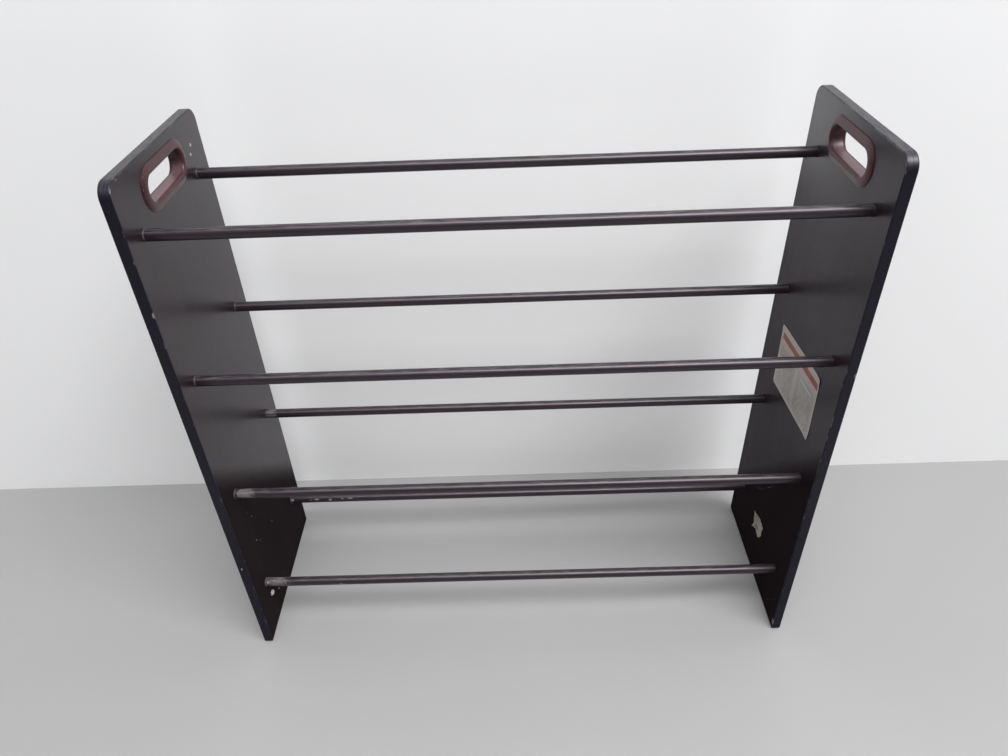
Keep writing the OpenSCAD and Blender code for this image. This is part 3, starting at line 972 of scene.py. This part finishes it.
def is_inside(spot, outline):
    """True if a spot lies inside a closed outline, by counting the sides that a ray crosses."""
    crossed = False
    for start, end in zip(outline, outline[1:] + outline[:1]):
        if (start.y > spot.y) != (end.y > spot.y):
            share = (spot.y - start.y) / (end.y - start.y)
            if spot.x < start.x + share * (end.x - start.x):
                crossed = not crossed
    return crossed


def is_torn_away(centre):
    """True for a face outside the ragged ring, in the hole, or in the slit."""
    spot = centre + RAGGED * noise.noise_vector(centre * 260.0)
    hole = (spot - HOLE).length < HOLE_RADIUS
    slit = all(abs(spot[i] - SLIT[i]) < SLIT_HALF[i] for i in (0, 1))
    return hole or slit or not is_inside(spot, ring)


noise.seed_set(31)
remnant = start_sheet("torn_remnant_right", 46 * MM, 46 * MM, 61)
pick(remnant, "FACE", is_torn_away)
bpy.ops.mesh.delete(type="FACE")
bpy.ops.mesh.select_mode(type="VERT")
bpy.ops.mesh.select_non_manifold()
bpy.ops.mesh.vertices_smooth(factor=0.5, repeat=2)
for (x, y), lift, reach in CURLS:
    pull(remnant, (x * MM, y * MM, 0), (0, 0, lift * MM), reach * MM)
bpy.ops.mesh.select_all(action="SELECT")
bpy.ops.transform.vertex_random(offset=0.06 * MM, seed=4)
give_thickness(remnant, 0.09 * MM)
remnant_place = Vector((INNER_FACE["right"] - 2 * SEAT, *REMNANT_MIDDLE))
lay_on(remnant, remnant_place, facing(LEFTWARD, UP))
print("remnant has", len(remnant.data.polygons), "faces")

# %% [markdown]
# ## Finish 7: torn paper
#
# Torn paper has no print left: it is a grey-brown felt of fibres with patches of old
# glue. Stretched noise gives the fibres, and they stand up a little.

# %% Paper finish
PAPER = (0.440, 0.400, 0.370, 1.0)
PAPER_SOILED = (0.210, 0.180, 0.160, 1.0)


def paper_finish():
    """Soiled felt of paper fibres."""
    material, tree, shader, place = new_material("torn_paper", IOR=1.4)
    fibres = noise_of(tree, vector_of(tree, "MULTIPLY", place, (1.0, 1.0, 0.3)), 1500.0, 4.0)
    soil = add_node(tree, "Mix", {0: 0.3, 2: handling(tree, place, 90.0), 3: fibres}).outputs[0]
    colour = mix_colour(tree, soft_step(tree, soil, 0.42, 0.62), PAPER, PAPER_SOILED)
    roughness, relief = spread(tree, fibres, 0.75, 0.95), bump(tree, fibres, 0.08 * MM)
    link(tree, shader, Base_Color=colour, Roughness=roughness, Normal=relief)
    return material


remnant.data.materials.append(paper_finish())
print("paper finish:", remnant.data.materials[0].name)

# %% [markdown]
# ## Paint flecks
#
# Someone painted a wall near the rack, and fine drops have dried on it: two larger
# chips beside the left hand slot, and a scatter low on the left panel and on the
# lowest rails. A thick crumb of filler sticks at the foot of the left panel too.
# One drop is modelled as a cut and flattened ball. Each fleck is a copy with its own
# mesh, roughened with its own seed so that no two are alike. The flecks of the panel
# are joined into one piece and those of the rails into another.

# %% Model the flecks
FLECK_HEIGHT = 0.18 * MM
SUNK = 0.25
LEFT_FLECKS = [
    (84.1, 665.4, 5.6, 5.0), (77.6, 656.6, 4.6, 4.2),
    (-60.6, 201.5, 0.9, 3.0), (-6.8, 134.2, 0.8, 2.6), (-69.3, 162.8, 1.8, 2.0), (-59.3, 151.4, 1.2, 1.4),
    (-116.7, 175.8, 1.4, 1.4), (-51.8, 35.0, 3.6, 2.8), (-56.1, 59.2, 4.0, 2.2),
    (-22.3, 34.6, 1.2, 1.3),
]
RAIL_FLECKS = [
    ("rear", -359.0, 32, 5.0, 4.4), ("rear", -330.0, 26, 3.0, 1.6),
    ("rear", -321.0, 30, 9.0, 2.6), ("rear", -299.0, 22, 5.6, 3.4),
    ("rear", -279.0, 32, 4.4, 1.8), ("rear", -267.0, 34, 9.0, 2.2),
    ("front", -358.0, 48, 5.4, 4.6), ("front", -350.0, 66, 3.0, 1.8),
    ("front", -254.5, -6, 6.4, 4.4),
]
EDGE_FLECK = Vector((-369.5 * MM, FRONT_EDGE, 162.9 * MM))
CRUMB, CRUMB_RISE = Vector(on_face("left", -76.5, 57.0)), 7.5 * MM

bpy.ops.mesh.primitive_ico_sphere_add(subdivisions=3, radius=0.5)
drop = bpy.context.object
drop.name = "drop"
bpy.ops.object.mode_set(mode="EDIT")
bpy.ops.mesh.bisect(plane_co=(0, 0, 0.08), plane_no=(0, 0, 1), use_fill=True, clear_inner=True)
bpy.ops.object.mode_set(mode="OBJECT")


def make_fleck(seed, wide, tall, place, normal, up, rise=FLECK_HEIGHT):
    """A roughened copy of the drop, its size in millimetres, laid on a surface."""
    bpy.ops.object.select_all(action="DESELECT")
    fleck = drop.copy()
    fleck.data = drop.data.copy()
    bpy.context.scene.collection.objects.link(fleck)
    fleck.select_set(True)
    bpy.context.view_layer.objects.active = fleck
    bpy.ops.object.mode_set(mode="EDIT")
    bpy.ops.mesh.select_all(action="SELECT")
    bpy.ops.transform.vertex_random(offset=0.07, seed=seed)
    bpy.ops.transform.resize(value=(wide * MM, tall * MM, 2 * rise), center_override=(0, 0, 0))
    lay_on(fleck, place - 2 * SUNK * rise * normal, facing(normal, up))
    return fleck


def join_flecks(name, flecks):
    """Joins flecks into one piece."""
    bpy.ops.object.select_all(action="DESELECT")
    for fleck in flecks:
        fleck.select_set(True)
    bpy.context.view_layer.objects.active = flecks[0]
    bpy.ops.object.join()
    flecks[0].name = flecks[0].data.name = name
    bpy.ops.object.shade_smooth_by_angle(angle=math.radians(50))
    return flecks[0]


inward = Vector((1, 0, 0))
panel_flecks = [
    make_fleck(seed, wide, tall, Vector(on_face("left", y, z)), inward, UP)
    for seed, (y, z, wide, tall) in enumerate(LEFT_FLECKS)
]
panel_flecks.append(make_fleck(30, 1.3, 5.0, EDGE_FLECK, Vector((0, -1, 0)), UP))
panel_flecks.append(make_fleck(9, 11.0, 9.0, CRUMB, inward, UP, CRUMB_RISE))
rail_flecks = []
for seed, (row, x, degrees, wide, tall) in enumerate(RAIL_FLECKS):
    angle = math.radians(degrees)
    normal = Vector((0, -math.cos(angle), math.sin(angle)))
    up = Vector((0, math.sin(angle), math.cos(angle)))
    place = Vector((x * MM, *rail_axis["bottom", row].yz)) + rail_radius * normal
    rail_flecks.append(make_fleck(40 + seed, wide, tall, place, normal, up))
bpy.data.objects.remove(drop)
flecks = [join_flecks("paint_flecks_left", panel_flecks), join_flecks("paint_flecks_rails", rail_flecks)]
print("flecks:", [(f.name, len(f.data.polygons)) for f in flecks])

# %% [markdown]
# ## Finish 8: dried paint
#
# Old emulsion is chalky and has picked up dust, so it is off-white, uneven and matt.
# On the rails it is dirtier, so one function makes two paints from two pairs of tones.

# %% Paint finish
PAINT = (0.56, 0.53, 0.49, 1.0)
PAINT_AGED = (0.26, 0.24, 0.22, 1.0)
DUSTY = (0.26, 0.24, 0.24, 1.0)
DIRTY = (0.070, 0.060, 0.060, 1.0)


def paint_finish(name, clean, dirty):
    """Chalky emulsion between two tones."""
    material, tree, shader, place = new_material(name, IOR=1.42)
    dusty = handling(tree, place, 240.0)
    colour = mix_colour(tree, soft_step(tree, dusty, 0.42, 0.62), clean, dirty)
    roughness, relief = spread(tree, dusty, 0.6, 0.85), bump(tree, dusty, 0.08 * MM)
    link(tree, shader, Base_Color=colour, Roughness=roughness, Normal=relief)
    return material


flecks[0].data.materials.append(paint_finish("dried_paint", PAINT, PAINT_AGED))
flecks[1].data.materials.append(paint_finish("dusty_paint", DUSTY, DIRTY))
print("paint finishes:", [f.data.materials[0].name for f in flecks])

# %% [markdown]
# ## The studio
#
# The rack stands on a plain pale floor in front of a paler wall. Two large soft lamps
# hang high behind the photographer, the stronger one to the right, and the world
# grows brighter from the horizon upwards as an open sky does. The wall stands close
# behind the rack, since the upper parts of the panels mirror it. It shows only from
# its front, so that the rack can also be looked at from behind.

# %% Floor, wall and lamps
STAGE_SIZE = 8.0
WALL_PLACE = 0.215
FLOOR_COLOUR = (0.33, 0.325, 0.325, 1.0)
WALL_COLOUR = (0.88, 0.88, 0.885, 1.0)
SKY_LOW, SKY_HIGH = 0.22, 0.62


def stage_material(name, colour, roughness, one_sided=False):
    """A plain material for the studio, clear from behind if it is one-sided."""
    material, tree, shader, place = new_material(name, Roughness=roughness)
    darker = tuple(0.94 * c for c in colour[:3]) + (1.0,)
    mottled = mix_colour(tree, noise_of(tree, place, 3.0, 4.0), darker, colour)
    link(tree, shader, Base_Color=mottled)
    if one_sided:
        back = tree.nodes.new("ShaderNodeNewGeometry").outputs["Backfacing"]
        clear = add_node(tree, "BsdfTransparent")
        mixed = add_node(tree, "MixShader", {0: back, 1: shader.outputs[0], 2: clear.outputs[0]})
        tree.links.new(mixed.outputs[0], tree.nodes["Material Output"].inputs["Surface"])
    return material


def stage_plane(name, location, rotation, material):
    """One plane of the studio."""
    bpy.ops.mesh.primitive_plane_add(size=STAGE_SIZE, location=location, rotation=rotation)
    plane = bpy.context.object
    plane.name = name
    plane.data.materials.append(material)
    plane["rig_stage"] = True


stage_plane("floor", ORIGIN, ORIGIN, stage_material("pale_floor", FLOOR_COLOUR, 0.6))
wall_material = stage_material("pale_wall", WALL_COLOUR, 0.7, one_sided=True)
stage_plane("wall", (0, WALL_PLACE, STAGE_SIZE / 2), (math.pi / 2, 0, 0), wall_material)

world = bpy.data.worlds.new("studio")
world.use_nodes = True
sky_tree = world.node_tree
direction = sky_tree.nodes.new("ShaderNodeTexCoord").outputs["Generated"]
upward = add_node(sky_tree, "SeparateXYZ", {"Vector": direction}).outputs["Z"]
brightness = soft_step(sky_tree, upward, 0.0, 0.9, SKY_LOW, SKY_HIGH)
sky_tree.nodes["Background"].inputs["Color"].default_value = (0.96, 0.98, 1.0, 1.0)
sky_tree.links.new(brightness, sky_tree.nodes["Background"].inputs["Strength"])
bpy.context.scene.world = world


def soft_lamp(name, place, target, width, height, power):
    """A rectangular soft lamp that faces its target."""
    bpy.ops.object.light_add(type="AREA", location=place)
    lamp = bpy.context.object
    lamp.name = name
    lamp.data.shape = "RECTANGLE"
    lamp.data.size, lamp.data.size_y = width, height
    lamp.data.energy = power
    lamp.rotation_euler = (Vector(target) - Vector(place)).to_track_quat("-Z", "Y").to_euler()


soft_lamp("top_lamp", (-0.38, -1.95, 4.83), (0.0, 0.0, 0.40), 2.1, 1.2, 76.0)
soft_lamp("right_lamp", (1.58, -1.95, 4.53), (0.1, 0.0, 0.40), 3.3, 1.05, 230.0)
bpy.context.scene.view_settings.view_transform = "Standard"
print("studio ready")

# %% Attach the added pieces to the frame
for piece in [o for o in bpy.context.scene.objects if o.type == "MESH"]:
    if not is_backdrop(piece) and "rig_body" not in piece:
        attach(piece, "root")
